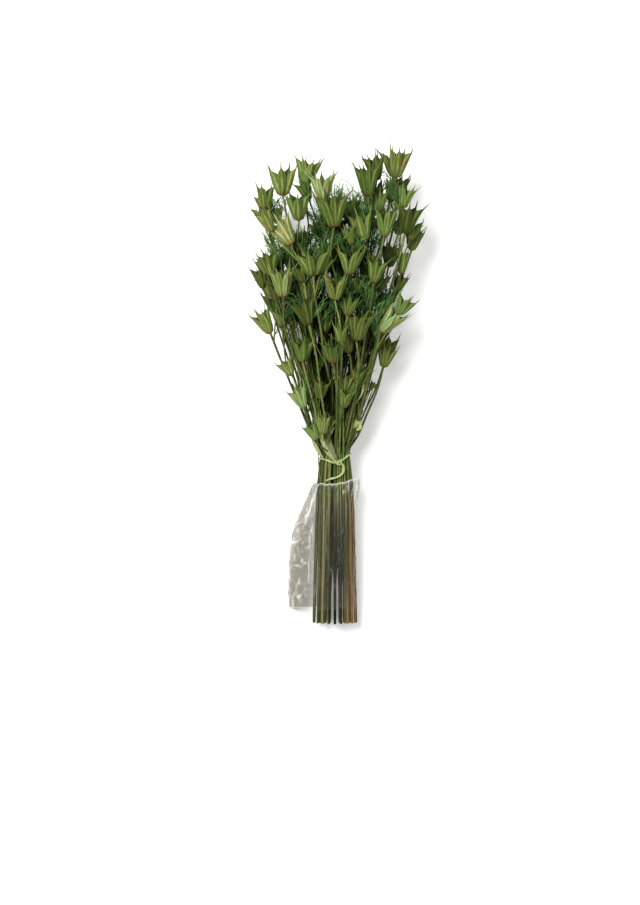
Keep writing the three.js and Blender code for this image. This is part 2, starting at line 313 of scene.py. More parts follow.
def follicle_form(name, opening, beak_out, beak_share):
    """One form of follicle, standing on +Z with its back towards +X."""
    rings = []
    for height, inner, outer, wide in FOLLICLE_RINGS:
        above = max(0.0, height - OPENS_ABOVE)
        past = max(0.0, height - 1.0)
        out = (inner + outer) / 2 + opening * above**2 + beak_out * past**2
        rings.append((min(height, 1.0) + past * beak_share, out, (outer - inner) / 2, wide))
    bpy.ops.object.select_all(action="DESELECT")
    bpy.ops.mesh.primitive_circle_add(
        vertices=len(RIBS), radius=1, fill_type="NGON", location=(0, 0, 0))
    form = bpy.context.object
    form.name = name
    for vertex in form.data.vertices:
        turn = math.atan2(vertex.co.y, vertex.co.x)
        vertex.co *= RIBS[round(turn / (2 * math.pi) * len(RIBS)) % len(RIBS)]
    bpy.ops.object.mode_set(mode="EDIT")
    bpy.ops.mesh.select_all(action="SELECT")
    height, out, deep, wide = rings[0]
    bpy.ops.transform.resize(value=(deep, wide, 1), center_override=(0, 0, 0))
    bpy.ops.transform.translate(value=(out, 0, height))
    for (z0, x0, d0, w0), (z1, x1, d1, w1) in zip(rings, rings[1:]):
        bpy.ops.mesh.extrude_region_move()
        bpy.ops.transform.resize(value=(d1 / d0, w1 / w0, 1), center_override=(x0, 0, z0))
        bpy.ops.transform.translate(value=(x1 - x0, 0, z1 - z0))
    bpy.ops.mesh.merge(type="CENTER")
    bpy.ops.mesh.select_all(action="SELECT")
    bpy.ops.mesh.normals_make_consistent(inside=False)
    bpy.ops.object.mode_set(mode="OBJECT")
    bpy.ops.object.shade_smooth()
    mark_follicle(form.data, rings)
    form.data.transform(Matrix.Scale(FOLLICLE_LENGTH, 4))
    return form


def mark_follicle(mesh, rings):
    """Opens the seam near the top, and gives the mesh its UV map and a mark on its ribs."""
    mesh.attributes.new("rib", "FLOAT", "POINT")
    around = {}
    for vertex in mesh.vertices:
        height, out, deep, wide = min(rings, key=lambda ring: abs(ring[0] - vertex.co.z))
        turn = math.atan2(vertex.co.y / wide, (vertex.co.x - out) / deep) / (2 * math.pi)
        around[vertex.index] = turn + 0.5
        at = round(turn * len(RIBS)) % len(RIBS)
        mesh.attributes["rib"].data[vertex.index].value = 1.0 if RIBS[at] > 1 else 0.0
        if at == SEAM and SPLIT_ABOVE < height < 1:
            vertex.co.x += deep * 0.9
    mesh.uv_layers.new(name="follicle")
    for face in mesh.polygons:
        turns = [around[mesh.loops[i].vertex_index] for i in face.loop_indices]
        for i, turn in zip(face.loop_indices, turns):
            if max(turns) - min(turns) > 0.5 and turn < 0.5:
                turn += 1
            height = mesh.vertices[mesh.loops[i].vertex_index].co.z / rings[-1][0]
            mesh.uv_layers["follicle"].data[i].uv = (turn, height)


follicle_forms = [
    follicle_form("follicle_straight", 0.0, 0.0, 1.2),
    follicle_form("follicle_open", 0.2, 0.8, 1.1),
    follicle_form("follicle_hooked", 0.05, -0.9, 1.0),
    follicle_form("follicle_broken", 0.0, 0.2, 0.4),
]


def parts_of(nodes, links, vector):
    """The X, Y and Z of a vector."""
    split = nodes.new("ShaderNodeSeparateXYZ")
    links.new(vector, split.inputs["Vector"])
    return split.outputs


def value_of(nodes, name):
    """The value of one of the mesh's own attributes."""
    attribute = nodes.new("ShaderNodeAttribute")
    attribute.attribute_name = name
    return attribute.outputs["Fac"]


def blended(nodes, links, factor, first, second, how="MIX"):
    """A mix of two colours. Each is a socket or a plain colour."""
    mix = nodes.new("ShaderNodeMix")
    mix.data_type = "RGBA"
    mix.blend_type = how
    sockets = (mix.inputs["Factor"], mix.inputs["A"], mix.inputs["B"])
    for socket, value in zip(sockets, (factor, first, second)):
        if isinstance(value, bpy.types.NodeSocket):
            links.new(value, socket)
        elif isinstance(value, tuple):
            socket.default_value = (*value, 1)
        else:
            socket.default_value = value
    return mix.outputs["Result"]


def between(nodes, links, value, low, high, first=0.0, second=1.0):
    """Maps a value from one range to another, held at the ends."""
    span = nodes.new("ShaderNodeMapRange")
    span.inputs["From Min"].default_value = low
    span.inputs["From Max"].default_value = high
    span.inputs["To Min"].default_value = first
    span.inputs["To Max"].default_value = second
    links.new(value, span.inputs["Value"])
    return span.outputs["Result"]


def inside_shade(nodes, links, place):
    """A multiplier of painted shade: it darkens what lies deep inside the bunch, and less so towards
    its open top.
    """
    x, along, z = parts_of(nodes, links, place)
    widest = TIE.y + 0.2
    middle = between(nodes, links, along, TIE.y, widest, TIE.z, 0.076)
    radius = between(nodes, links, along, TIE.y, widest, 0.016, 0.08)
    rise = calculated(nodes, links, "SUBTRACT", z, middle)
    flat = calculated(nodes, links, "MULTIPLY", rise, 1.3)
    across_squared = calculated(nodes, links, "POWER", x, 2.0)
    rise_squared = calculated(nodes, links, "MULTIPLY", flat, flat)
    far_squared = calculated(nodes, links, "ADD", across_squared, rise_squared)
    far = calculated(nodes, links, "POWER", far_squared, 0.5)
    share = calculated(nodes, links, "DIVIDE", far, radius)
    above = between(nodes, links, along, widest, TIE.y + 0.3, 0.0, 0.7)
    share = calculated(nodes, links, "ADD", share, above)
    return ramp(nodes, links, share, [
        (0.35, (0.03, 0.05, 0.01)), (0.65, (0.25, 0.3, 0.17)), (0.9, (1, 1, 1)),
    ])


def follicle_material():
    """Papery olive skin with a rusty foot and a few rusty streaks. Its pale ribs are painted
    highlights, and painted shade darkens the furrows, the inner faces and seam, and what lies deep in
    the bunch.
    """
    material, shader, nodes, links = new_material("seed_head", 0.62)
    uv = nodes.new("ShaderNodeUVMap")
    uv.uv_map = "follicle"
    around, up, _ = parts_of(nodes, links, uv.outputs["UV"])
    tint = value_of(nodes, "tint")
    shift = nodes.new("ShaderNodeVectorMath")
    shift.operation = "ADD"
    links.new(uv.outputs["UV"], shift.inputs[0])
    links.new(tint, shift.inputs[1])
    place = nodes.new("ShaderNodeTexCoord").outputs["Object"]
    fibre_place = stretched(nodes, links, shift.outputs["Vector"], (60, 5, 1))
    fibres = noise(nodes, links, fibre_place, 1.0, 3.0)
    patches = noise(nodes, links, place, 110)
    skin = ramp(nodes, links, fibres, [
        (0.3, (0.055, 0.085, 0.012)), (0.5, (0.105, 0.15, 0.028)), (0.7, (0.19, 0.235, 0.065)),
    ])
    # Painted highlight: the ribs are painted paler, in patches, as if lit along their ridges.
    ribs = between(nodes, links, value_of(nodes, "rib"), 0.45, 1.0, 0.0, 1.0)
    patchy_highlight = between(nodes, links, noise(nodes, links, place, 160), 0.35, 0.6, 0.15, 0.75)
    rib_highlights = calculated(nodes, links, "MULTIPLY", ribs, patchy_highlight)
    skin = blended(nodes, links, rib_highlights, skin, (0.3, 0.34, 0.15))
    # Painted shade: the furrows between the ribs are painted darker.
    groove_shade = between(nodes, links, value_of(nodes, "rib"), 0.0, 0.25, 0.4, 0.0)
    skin = blended(nodes, links, groove_shade, skin, (0.03, 0.05, 0.007))
    greener = between(nodes, links, noise(nodes, links, place, 45), 0.5, 0.62, 0.0, 0.45)
    skin = blended(nodes, links, greener, skin, (0.065, 0.15, 0.035))
    browner = between(nodes, links, noise(nodes, links, place, 26, 1.0), 0.5, 0.38, 0.0, 0.6)
    skin = blended(nodes, links, browner, skin, (1.06, 0.86, 0.8), "MULTIPLY")
    rust = between(nodes, links, patches, 0.6, 0.7, 0.0, 0.65)
    skin = blended(nodes, links, rust, skin, (0.24, 0.1, 0.03))
    # Painted shade: the inner faces of each follicle and its seam, which face the middle of the head,
    # are painted darker.
    off_back = calculated(nodes, links, "SUBTRACT", around, 0.5)
    aside = calculated(nodes, links, "ABSOLUTE", off_back, 0.0)
    inner = between(nodes, links, aside, 0.2, 0.4, 0.0, 0.85)
    skin = blended(nodes, links, inner, skin, (0.022, 0.036, 0.006))
    foot = between(nodes, links, up, 0.02, 0.12, 0.75, 0.0)
    skin = blended(nodes, links, foot, skin, (0.17, 0.08, 0.02))
    deep = ramp(nodes, links, tint, [
        (0.0, (0.3, 0.35, 0.2)), (0.4, (0.82, 0.86, 0.7)),
        (0.7, (1.2, 1.2, 1.2)), (1.0, (2.15, 2.0, 3.0)),
    ])
    skin = blended(nodes, links, 1.0, skin, deep, "MULTIPLY")
    # Painted shade: darker deep inside the bunch.
    skin = blended(nodes, links, 1.0, skin, inside_shade(nodes, links, place), "MULTIPLY")
    links.new(skin, shader.inputs["Base Color"])
    links.new(between(nodes, links, fibres, 0.3, 0.7, 0.5, 0.75), shader.inputs["Roughness"])
    bumped(nodes, links, shader, fibres, 0.35, 0.0004)
    return material


seed_head_skin = follicle_material()
for form in follicle_forms:
    form.data.materials.append(seed_head_skin)

# --- A thread leaf ----------------------------------------------------------------------------
# The leaves are cut into threads as fine as fennel. A leaf is a thin midrib with pairs of threads
# that fork once, dried and a little crimped. A few leaves are made, and the others are copies.
LEAF_LENGTH = 0.03
THREAD = 0.00042
thread_outline = section("thread_outline", [1, 1, 1])
rng = random.Random(11)


def sideways(along):
    """A random direction square to another."""
    side = along.orthogonal().normalized()
    side.rotate(Matrix.Rotation(rng.uniform(0, 2 * math.pi), 3, along))
    return side


def thread(start, along, length, bend, thick):
    """One thread of a leaf, tapering to its tip."""
    side = sideways(along)
    points = [
        start + (along * t + side * bend * math.sin(3.5 * t) * t) * length
        for t in (0, 0.3, 0.55, 0.8, 1)
    ]
    return strand("thread", points, [thick, thick * 0.8, thick * 0.4], thread_outline)


def joined(pieces, name):
    """Joins pieces into one mesh."""
    bpy.ops.object.select_all(action="DESELECT")
    for piece in pieces:
        piece.select_set(True)
    bpy.context.view_layer.objects.active = pieces[0]
    bpy.ops.object.join()
    whole = bpy.context.object
    whole.name = name
    return whole


def leaf_form(name, pairs):
    """A whole leaf, growing along +Z and bending towards +X."""
    def midrib(t):
        return Vector((0.3 * t * t, 0.06 * math.sin(5 * t), t)) * LEAF_LENGTH

    middle = [midrib(i / 6) for i in range(7)]
    threads = [strand("midrib", middle, [THREAD * 1.3, THREAD * 0.6], thread_outline)]
    for pair in range(pairs):
        t = 0.12 + 0.6 * pair / (pairs - 1)
        for hand in (-1, 1):
            along = Vector((rng.uniform(0.0, 0.5), hand * rng.uniform(0.2, 0.7), 1)).normalized()
            along.rotate(Matrix.Rotation(rng.uniform(-0.6, 0.6), 3, "Z"))
            long = LEAF_LENGTH * rng.uniform(0.35, 0.7)
            threads.append(thread(midrib(t), along, long, rng.uniform(-0.45, 0.45), THREAD))
            if pair % 2:
                continue
            fork = midrib(t) + along * long * 0.35
            turned = Vector((rng.uniform(-0.5, 0.5), hand * 0.25, rng.uniform(0, 0.4)))
            along = (along + turned).normalized()
            threads.append(thread(fork, along, long * 0.6, rng.uniform(-0.7, 0.7), THREAD * 0.8))
    return joined(threads, name)


leaf_forms = [leaf_form(f"leaf_{pairs}", pairs) for pairs in (6, 5, 7)]


def leaf_material():
    """Dried thread leaves that kept more of the green dye than the stems."""
    material, shader, nodes, links = new_material("thread_leaf", 0.7)
    place = nodes.new("ShaderNodeTexCoord").outputs["Object"]
    patches = noise(nodes, links, place, 90)
    colour = ramp(nodes, links, patches, [
        (0.32, (0.035, 0.085, 0.02)), (0.5, (0.07, 0.155, 0.04)), (0.68, (0.15, 0.26, 0.08)),
    ])
    deep = ramp(nodes, links, value_of(nodes, "tint"), [
        (0.0, (0.45, 0.6, 0.7)), (0.5, (0.9, 0.9, 0.8)), (1.0, (1.6, 1.5, 1.4)),
    ])
    colour = blended(nodes, links, 1.0, colour, deep, "MULTIPLY")
    # Painted shade: darker deep inside the bunch.
    colour = blended(nodes, links, 1.0, colour, inside_shade(nodes, links, place), "MULTIPLY")
    links.new(colour, shader.inputs["Base Color"])
    return material


thread_leaf_skin = leaf_material()
for form in leaf_forms:
    form.data.materials.append(thread_leaf_skin)

# --- The plants -------------------------------------------------------------------------------
# A plant is a ribbed stem, a seed head on top, side shoots with smaller heads of their own, and
# thread leaves. It grew as one, so it is joined into one piece, which follows its node.
STEM_RADIUS = 0.00122
STEM_TOP_RADIUS = 0.00112
stem_outline = section("stem_outline", [1, 0.86] * 5)
LEAVES_START = 0.12
HEAD_CRUMPLE = 0.0007
HOW_OFTEN = (6, 3, 4, 1)  # each form of follicle
WITHIN_LOOP = 0.0148
SPLAY = 0.2
rng = random.Random(5)
crumple.seed_set(5)


def tinted(piece, tint):
    """Gives a piece the tint that its material reads."""
    tints = piece.data.attributes.new("tint", "FLOAT", "POINT")
    tints.data.foreach_set("value", [tint] * len(piece.data.vertices))


def copy_of(form, matrix, tint):
    """A copy of a form with its own mesh, put in place, with its own tint."""
    piece = form.copy()
    piece.data = form.data.copy()
    bpy.context.collection.objects.link(piece)
    piece.data.transform(matrix)
    tinted(piece, tint)
    return piece


def framed(x, y, z, place):
    """The matrix of three axes and a place."""
    return Matrix.Translation(place) @ Matrix((x, y, z)).transposed().to_4x4()


def seed_head(base, axis, tips, size, tint):
    """The follicles of a head: one for each beak tip, leaning out to it."""
    pieces = []
    narrow = math.sin(math.pi / len(tips)) / math.sin(math.pi / 6)
    for tip in tips:
        back = (tip - base) - axis * (tip - base).dot(axis)
        spread = back.length / (BEAK_REACH * size)
        back.normalize()
        lean = Matrix.Rotation(rng.gauss(0, 0.05), 4, "Y")
        lean = lean @ Matrix.Rotation(rng.gauss(0, 0.1), 4, "Z")
        scale = size / FOLLICLE_LENGTH * rng.uniform(0.96, 1.03)
        wide = scale * narrow * min(1.0, 0.25 + 0.8 * spread)
        shape = Matrix.Diagonal((scale * spread, wide, scale, 1))
        form = rng.choices(follicle_forms, HOW_OFTEN)[0]
        placed = framed(back, axis.cross(back), axis, base)
        own_tint = min(1.0, max(0.0, tint + rng.gauss(0, 0.06)))
        piece = copy_of(form, placed @ lean @ shape, own_tint)
        for vertex in piece.data.vertices:
            vertex.co += crumple.noise_vector(vertex.co * 170) * HEAD_CRUMPLE
        pieces.append(piece)
    return pieces


def stem(line, radii, tint):
    """A ribbed stem along a line."""
    piece = strand("stem", line, radii, stem_outline, turns=rng.uniform(-0.3, 0.3))
    tinted(piece, tint)
    piece.data.materials.append(stem_skin)
    return piece


def stem_material():
    """Ribbed olive stems, greener among the heads and browner where the film keeps them damp."""
    material, shader, nodes, links = new_material("stem", 0.6)
    place = nodes.new("ShaderNodeTexCoord").outputs["Object"]
    streaks = noise(nodes, links, stretched(nodes, links, place, (900, 40, 900)), 1.0)
    patches = noise(nodes, links, stretched(nodes, links, place, (60, 18, 60)), 1.0)
    colour = ramp(nodes, links, streaks, [
        (0.3, (0.045, 0.068, 0.012)), (0.5, (0.1, 0.132, 0.03)), (0.7, (0.2, 0.24, 0.07)),
    ])
    greener = between(nodes, links, patches, 0.5, 0.65, 0.0, 0.5)
    colour = blended(nodes, links, greener, colour, (0.07, 0.15, 0.035))
    browner = between(nodes, links, patches, 0.5, 0.38, 0.0, 0.55)
    colour = blended(nodes, links, browner, colour, (0.15, 0.13, 0.05))
    x, y, _ = parts_of(nodes, links, place)
    damp = between(nodes, links, y, TIE.y - 0.055, TIE.y - 0.022, 0.6, 0.0)
    across = between(nodes, links, x, TIE.x - 0.01, TIE.x + 0.02)
    redder = ramp(nodes, links, across, [
        (0, (0.13, 0.11, 0.05)), (0.7, (0.16, 0.105, 0.05)), (1, (0.27, 0.085, 0.03)),
    ])
    colour = blended(nodes, links, damp, colour, redder)
    deep = ramp(nodes, links, value_of(nodes, "tint"), [
        (0.0, (0.35, 0.37, 0.32)), (0.55, (0.85, 0.85, 0.82)), (1.0, (1.4, 1.36, 1.5)),
    ])
    colour = blended(nodes, links, 1.0, colour, deep, "MULTIPLY")
    # Painted shade: darker deep inside the bunch.
    colour = blended(nodes, links, 1.0, colour, inside_shade(nodes, links, place), "MULTIPLY")
    links.new(colour, shader.inputs["Base Color"])
    bumped(nodes, links, shader, streaks, 0.4, 0.0003)
    return material


stem_skin = stem_material()


def within(point):
    """Whether a point is inside the outline of the bunch and above the table."""
    share = min(1.0, max(0.0, (point.y - TIE.y) / 0.2))
    radius = 0.016 + 0.057 * share
    inside = math.hypot(point.x - TIE.x, (point.z - TIE.z - 0.032 * share) * 1.25) < radius
    return inside and 0.002 < point.z and point.y < cad_high.y - 0.006


def leaves_on(line, start, end, count):
    """Thread leaves along a stretch of a stem, each growing up and away from it."""
    pieces = []
    for i in range(count):
        share = start + (end - start) * (i + rng.uniform(0.1, 0.9)) / count
        at = share * (len(line) - 1)
        low = min(int(at), len(line) - 2)
        place = line[low].lerp(line[low + 1], at - low)
        along = (line[low + 1] - line[low]).normalized()
        scale = rng.uniform(0.6, 1.15)
        for _ in range(8):
            away = sideways(along)
            grow = (along + away * rng.uniform(0.2, 0.6)).normalized()
            if place.y > TIE.y + LEAVES_START and within(place + grow * LEAF_LENGTH * scale * 1.15):
                bend = (away - grow * away.dot(grow)).normalized()
                placed = framed(bend, grow.cross(bend), grow, place) @ Matrix.Scale(scale, 4)
                pieces.append(copy_of(rng.choice(leaf_forms), placed, rng.random()))
                break
    return pieces


def twigs_on(line, count):
    """Thin bare side twigs that run up beside a stem."""
    pieces = []
    for _ in range(count):
        at = rng.randrange(len(line) // 4, int(len(line) * 0.7))
        along = (line[at + 1] - line[at]).normalized()
        away = sideways(along)
        long = rng.uniform(0.03, 0.07)
        points = [
            line[at] + along * long * t + away * long * (0.34 * t - 0.12 * t * t)
            for t in (0, 0.33, 0.66, 1)
        ]
        if within(points[-1]):
            pieces.append(stem(through(points, 2), [0.0007, 0.0004], rng.random()))
    return pieces


def low_branches_of(line, count):
    """Thin branches that leave a stem near its cut end and run up close beside it."""
    pieces = []
    for _ in range(count):
        last = int(len(line) * rng.uniform(0.5, 0.9))
        inward = Vector((TIE.x - line[4].x, 0, TIE.z - 0.02 - line[4].z)).normalized()
        inward.rotate(Matrix.Rotation(rng.uniform(-1.3, 1.3), 3, "Y"))
        gap = rng.uniform(0.0019, 0.0027)
        points = [line[1]]
        points += [line[i] + inward * gap * (1 + 1.5 * (i / last) ** 3) for i in range(3, last, 3)]
        at_tie = [math.hypot(p.x - TIE.x, p.z - TIE.z) for p in points if abs(p.y - TIE.y) < 0.012]
        if max(at_tie, default=0) < WITHIN_LOOP:
            pieces.append(stem(through(points, 2), [0.0009, 0.0011, 0.0009, 0.0005], rng.random()))
    return pieces


cad_low, cad_high = cad_box


def splayed(point):
    """Below the tie the stems lie a little flatter and wider on the table."""
    share = min(1.0, max(0.0, (TIE.y - point.y) / 0.05))
    wider = 1 + SPLAY * math.sin(share * math.pi / 2)
    return Vector((TIE.x + (point.x - TIE.x) * wider, point.y, point.z))


# Two balls stand for a seed head: how far up it each is, and its radius, as shares of its size.
HEAD_BALLS = ((0.3, 0.27), (0.8, 0.42))
STEM_BALL = 0.0015


def head_room(base, axis, size):
    """The balls that stand for a head, as (middle, radius)."""
    return [(base + axis * share * size, reach * size) for share, reach in HEAD_BALLS]


def clearance(base, axis, size, others):
    """How far a head of this size is from the nearest of the other heads and stems."""
    nearest = 1.0
    for share, reach in HEAD_BALLS:
        centre = base + axis * share * size
        for place, room in others:
            if abs(place.y - centre.y) < 0.04:
                nearest = min(nearest, (place - centre).length - room - reach * size)
    return nearest


def room_taken(plant):
    """The balls that stand for a plant's head and stem."""
    balls = head_room(plant["base"], plant["axis"], plant["size"])
    return balls + [(point, STEM_BALL) for point in plant["line"][:-1]]


def plant_nearest(spot):
    """The plant whose stem passes nearest to a spot."""
    return min(plants, key=lambda plant: min((p - spot).length for p in plant["line"]))


def shoot_to(base, axis, size, tint):
    """A side shoot with its head at base, off the plant whose stem passes nearest below it."""
    start = base - axis * rng.uniform(0.03, 0.045) - Vector((0, 0.012, 0))
    start.y = max(start.y, TIE.y + 0.004)
    host = plant_nearest(start)
    at = min(range(len(host["line"])), key=lambda i: (host["line"][i] - start).length)
    fork = host["line"][at]
    low = fork.lerp(base, 0.35) - axis * size * 0.15
    line = through([fork, low, base - axis * size * 0.35, base], 5)
    sides = rng.choice((5, 5, 6))
    turn = rng.uniform(0, 2 * math.pi)
    across = axis.orthogonal().normalized()
    reach = BEAK_REACH * size * rng.uniform(0.8, 1.05)
    tips = []
    for i in range(sides):
        out = across.copy()
        out.rotate(Matrix.Rotation(turn + 2 * math.pi * i / sides, 3, axis))
        tips.append(base + axis * BEAK_HEIGHT * size + out * reach)
    host["shoots"].append(
        {"line": line, "base": base, "axis": axis, "tips": tips, "size": size, "tint": tint})


# Where the side shoots that show from above have their heads: to the right of the neck, towards
# the heads, the size of the head, its lean to the right in degrees, and its tint.
SIDE_HEADS = [
    (-64, 228, 21, -30, 0.7),
    (69, 255, 19, 10, 0.5),
    (45, 253, 19, 5, 0.5),
    (63, 146, 18, 30, 0.5),
    (-61, 150, 21, -15, 0.2),
    (-19, 19, 17, -28, 0.72),
    (-45, 86, 16, -25, 0.7),
    (36, 71, 9, 35, 0.3),
    (56, 200, 22, 12, 0.1),
    (17, 164, 22, 5, 0.2),
    (-59, 245, 16, -20, 0.5),
    (-13, 25, 17, 0, 0.7),
    (-5, 25, 8, 15, 0.75),
    (21, 32, 8, 20, 0.9),
]
TOUCHING = 0.002
DARK_TINT = 0.3
DARK_SUNK = 0.01
LOWEST_SIDE_HEAD = 0.015
HEADS_BY_RULE = 80
TRIES = 8000
CROWDED = 0.0045
rng = random.Random(23)
taken = []
for plant in plants:
    plant["line"] = [splayed(point) for point in through(plant["line"], 3)]
    plant["shoots"], plant["extras"] = [], []
    taken += room_taken(plant)

for right, up, size, lean, tint in SIDE_HEADS:
    size /= 1000
    lean = math.radians(lean)
    axis = Vector((math.sin(lean), math.cos(lean), 0.1)).normalized()
    base = TIE + Vector((right / 1000, up / 1000, 0.09))
    sunk = DARK_SUNK if tint < DARK_TINT else 0.0
    while clearance(base, axis, size, taken) > -TOUCHING - sunk:
        base.z -= 0.001
        if base.z < TIE.z + LOWEST_SIDE_HEAD:
            break
    shoot_to(base, axis, size, tint)
    taken += head_room(base, axis, size)

added = 0
for _ in range(TRIES):
    host = rng.choice(plants)
    fork = rng.choice(host["line"][len(host["line"]) // 2:-2])
    off = Vector((rng.gauss(0, 1), 0, rng.gauss(0, 1))).normalized()
    axis = Vector((off.x * 0.35, 1, off.z * 0.35)).normalized()
    size = rng.uniform(0.015, 0.022)
    base = fork + off * rng.uniform(0.006, 0.018) + Vector((0, 0.02, 0))
    half = 0.45 * size
    inside = all(low + half < c < high - half for low, c, high in zip(cad_low, base, cad_high))
    up = base.y - TIE.y
    inside = inside and abs(base.x - TIE.x) < 0.006 + 0.4 * up - 0.35 * size
    if inside and up > 0.05 and clearance(base, axis, size, taken) > -CROWDED:
        shoot_to(base, axis, size, rng.uniform(0.1, 0.6))
        taken += head_room(base, axis, size)
        added += 1
    if added == HEADS_BY_RULE:
        break


def cut_end(piece):
    """Hollows the cut end of a stem, down to its pale pith."""
    mesh = piece.data
    mesh.materials.append(pith_skin)
    lowest = min(mesh.polygons, key=lambda face: face.center.y).index
    middle = mesh.polygons[lowest].center.copy()
    mesh.vertices.foreach_set("select", [False] * len(mesh.vertices))
    mesh.edges.foreach_set("select", [False] * len(mesh.edges))
    mesh.polygons.foreach_set("select", [face.index == lowest for face in mesh.polygons])
    bpy.context.tool_settings.mesh_select_mode = (False, False, True)
    bpy.ops.object.select_all(action="DESELECT")
    piece.select_set(True)
    bpy.context.view_layer.objects.active = piece
    bpy.ops.object.mode_set(mode="EDIT")
    bpy.ops.mesh.extrude_region_move()
    bpy.ops.transform.resize(value=(0.7, 1, 0.7), center_override=middle)
    bpy.ops.mesh.extrude_region_move()
    bpy.ops.transform.translate(value=(0, 0.0015, 0))
    bpy.ops.object.mode_set(mode="OBJECT")
    for face in mesh.polygons:
        if face.select:
            face.material_index = 1


pith_skin, pith_shader, *_ = new_material("pith", 0.9)
pith_shader.inputs["Base Color"].default_value = (0.42, 0.4, 0.24, 1)

# Tufts of leaf that reach past the heads: across, along and up from the middle of the tie.
LEAFY_TOPS = [
    (-3, 236, 56), (6, 240, 52), (14, 238, 50), (22, 232, 46), (-12, 226, 50), (2, 196, 62),
    (14, 190, 60), (-8, 186, 62), (26, 196, 52), (-30, 196, 52), (-60, 200, 26), (44, 120, 44),
    (32, 150, 56),
]
LEAVES_IN_TUFT = 6
for spot in LEAFY_TOPS:
    base = TIE + Vector(spot) / 1000
    start = base - Vector((0, 0.04, 0.004))
    host = plant_nearest(start)
    fork = min(host["line"], key=lambda p: (p - start).length)
    line = through([fork, fork.lerp(base, 0.5) + Vector((0, 0, 0.003)), base], 4)
    host["extras"].append(stem(line, [0.0009, 0.0007], rng.random()))
    for _ in range(LEAVES_IN_TUFT):
        grow = Vector((rng.gauss(0, 0.25), 1, rng.gauss(0.05, 0.15))).normalized()
        bend = sideways(grow)
        placed = framed(bend, grow.cross(bend), grow, base) @ Matrix.Scale(rng.uniform(0.9, 1.3), 4)
        host["extras"].append(copy_of(rng.choice(leaf_forms), placed, rng.uniform(0.7, 1)))


def dried_leaf_material():
    """Dried strips of leaf: brown and grey, or pale green, with fine lengthwise lines."""
    material, shader, nodes, links = new_material("dried_leaf", 0.75)
    place = nodes.new("ShaderNodeTexCoord").outputs["Object"]
    lines = noise(nodes, links, stretched(nodes, links, place, (1500, 150, 900)), 1.0)
    colour = ramp(nodes, links, value_of(nodes, "tint"), [
        (0.0, (0.15, 0.14, 0.07)), (1.0, (0.4, 0.47, 0.2)),
    ])
    shade = ramp(nodes, links, lines, [(0.35, (0.5, 0.5, 0.45)), (0.65, (1.35, 1.35, 1.3))])
    links.new(blended(nodes, links, 1.0, colour, shade, "MULTIPLY"), shader.inputs["Base Color"])
    bumped(nodes, links, shader, lines, 0.5, 0.0004)
    return material


dried_leaf_skin = dried_leaf_material()
strip_outline = section("strip_outline", [1, 0.62, 0.16, 0.6, 1, 0.58, 0.1, 0.62])

# Dried strips of leaf near the neck: points in millimetres from the middle of the tie, half widths
# along the strip, and a tint from brown to pale green.
DRIED_STRIPS = [
    ([(-16, 29, 23), (-13, 19, 22), (-8.5, 8, 20), (-3, 0, 18.8), (0.5, -5, 18.4)],
     [1.7, 2.8, 2.9, 2.3, 1.5], 0.55),
    ([(-9, 30, 22), (-6.5, 18, 21.5), (-3.5, 8, 20), (0, 1, 19.2), (2, -4, 18.4)],
     [1.2, 3.0, 3.4, 2.6, 1.2], 0.12),
    ([(19, 38, 12), (16.5, 26, 10), (14, 14, 8), (13, 4, 7.5)],
     [1.2, 2.6, 2.2, 1.4], 0.0),
    ([(12, 22, 10), (19, 33, 17), (24, 36, 19), (25.5, 32, 17.5), (21, 29, 15)],
     [1.0, 2.2, 3.4, 3.0, 0.8], 0.95),
    ([(21, 56, 24), (28, 68, 30), (28.5, 79, 32), (22, 86, 32), (17, 90, 30)],
     [0.5, 1.2, 1.3, 1.1, 0.4], 0.75),
    ([(-24, 21, 12), (-20.5, 14, 13.5), (-16.5, 6, 13), (-12, -1, 12.5)],
     [1.0, 2.3, 1.9, 1.0], 0.6),
]
for points, widths, tint in DRIED_STRIPS:
    points = [TIE + Vector(p) / 1000 for p in points]
    radii = [w / 1000 for w in widths]
    strip = strand("dried_strip", through(points, 5), radii, strip_outline, turns=0.12)
    tinted(strip, tint)
    strip.data.materials.append(dried_leaf_skin)
    plant_nearest(points[0])["extras"].append(strip)

# Where the palest and the darkest heads grow, in millimetres from the middle of the tie.
PALE_HEADS = [
    (-15, 261), (-31, 241), (-37, 218), (51, 224), (-5, 160), (47, 129), (-27, 52), (-18, 188),
]
DARK_HEADS = [(29, 267), (75, 219), (10, 200), (-5, 190), (15, 150), (60, 190), (-55, 190)]

NEAR = 12  # millimetres
PALER, DARKER = 0.35, 0.25
ABOVE_FLOOR = 0.0002
LEAFY_MIDDLE = (-0.005, 0.14)

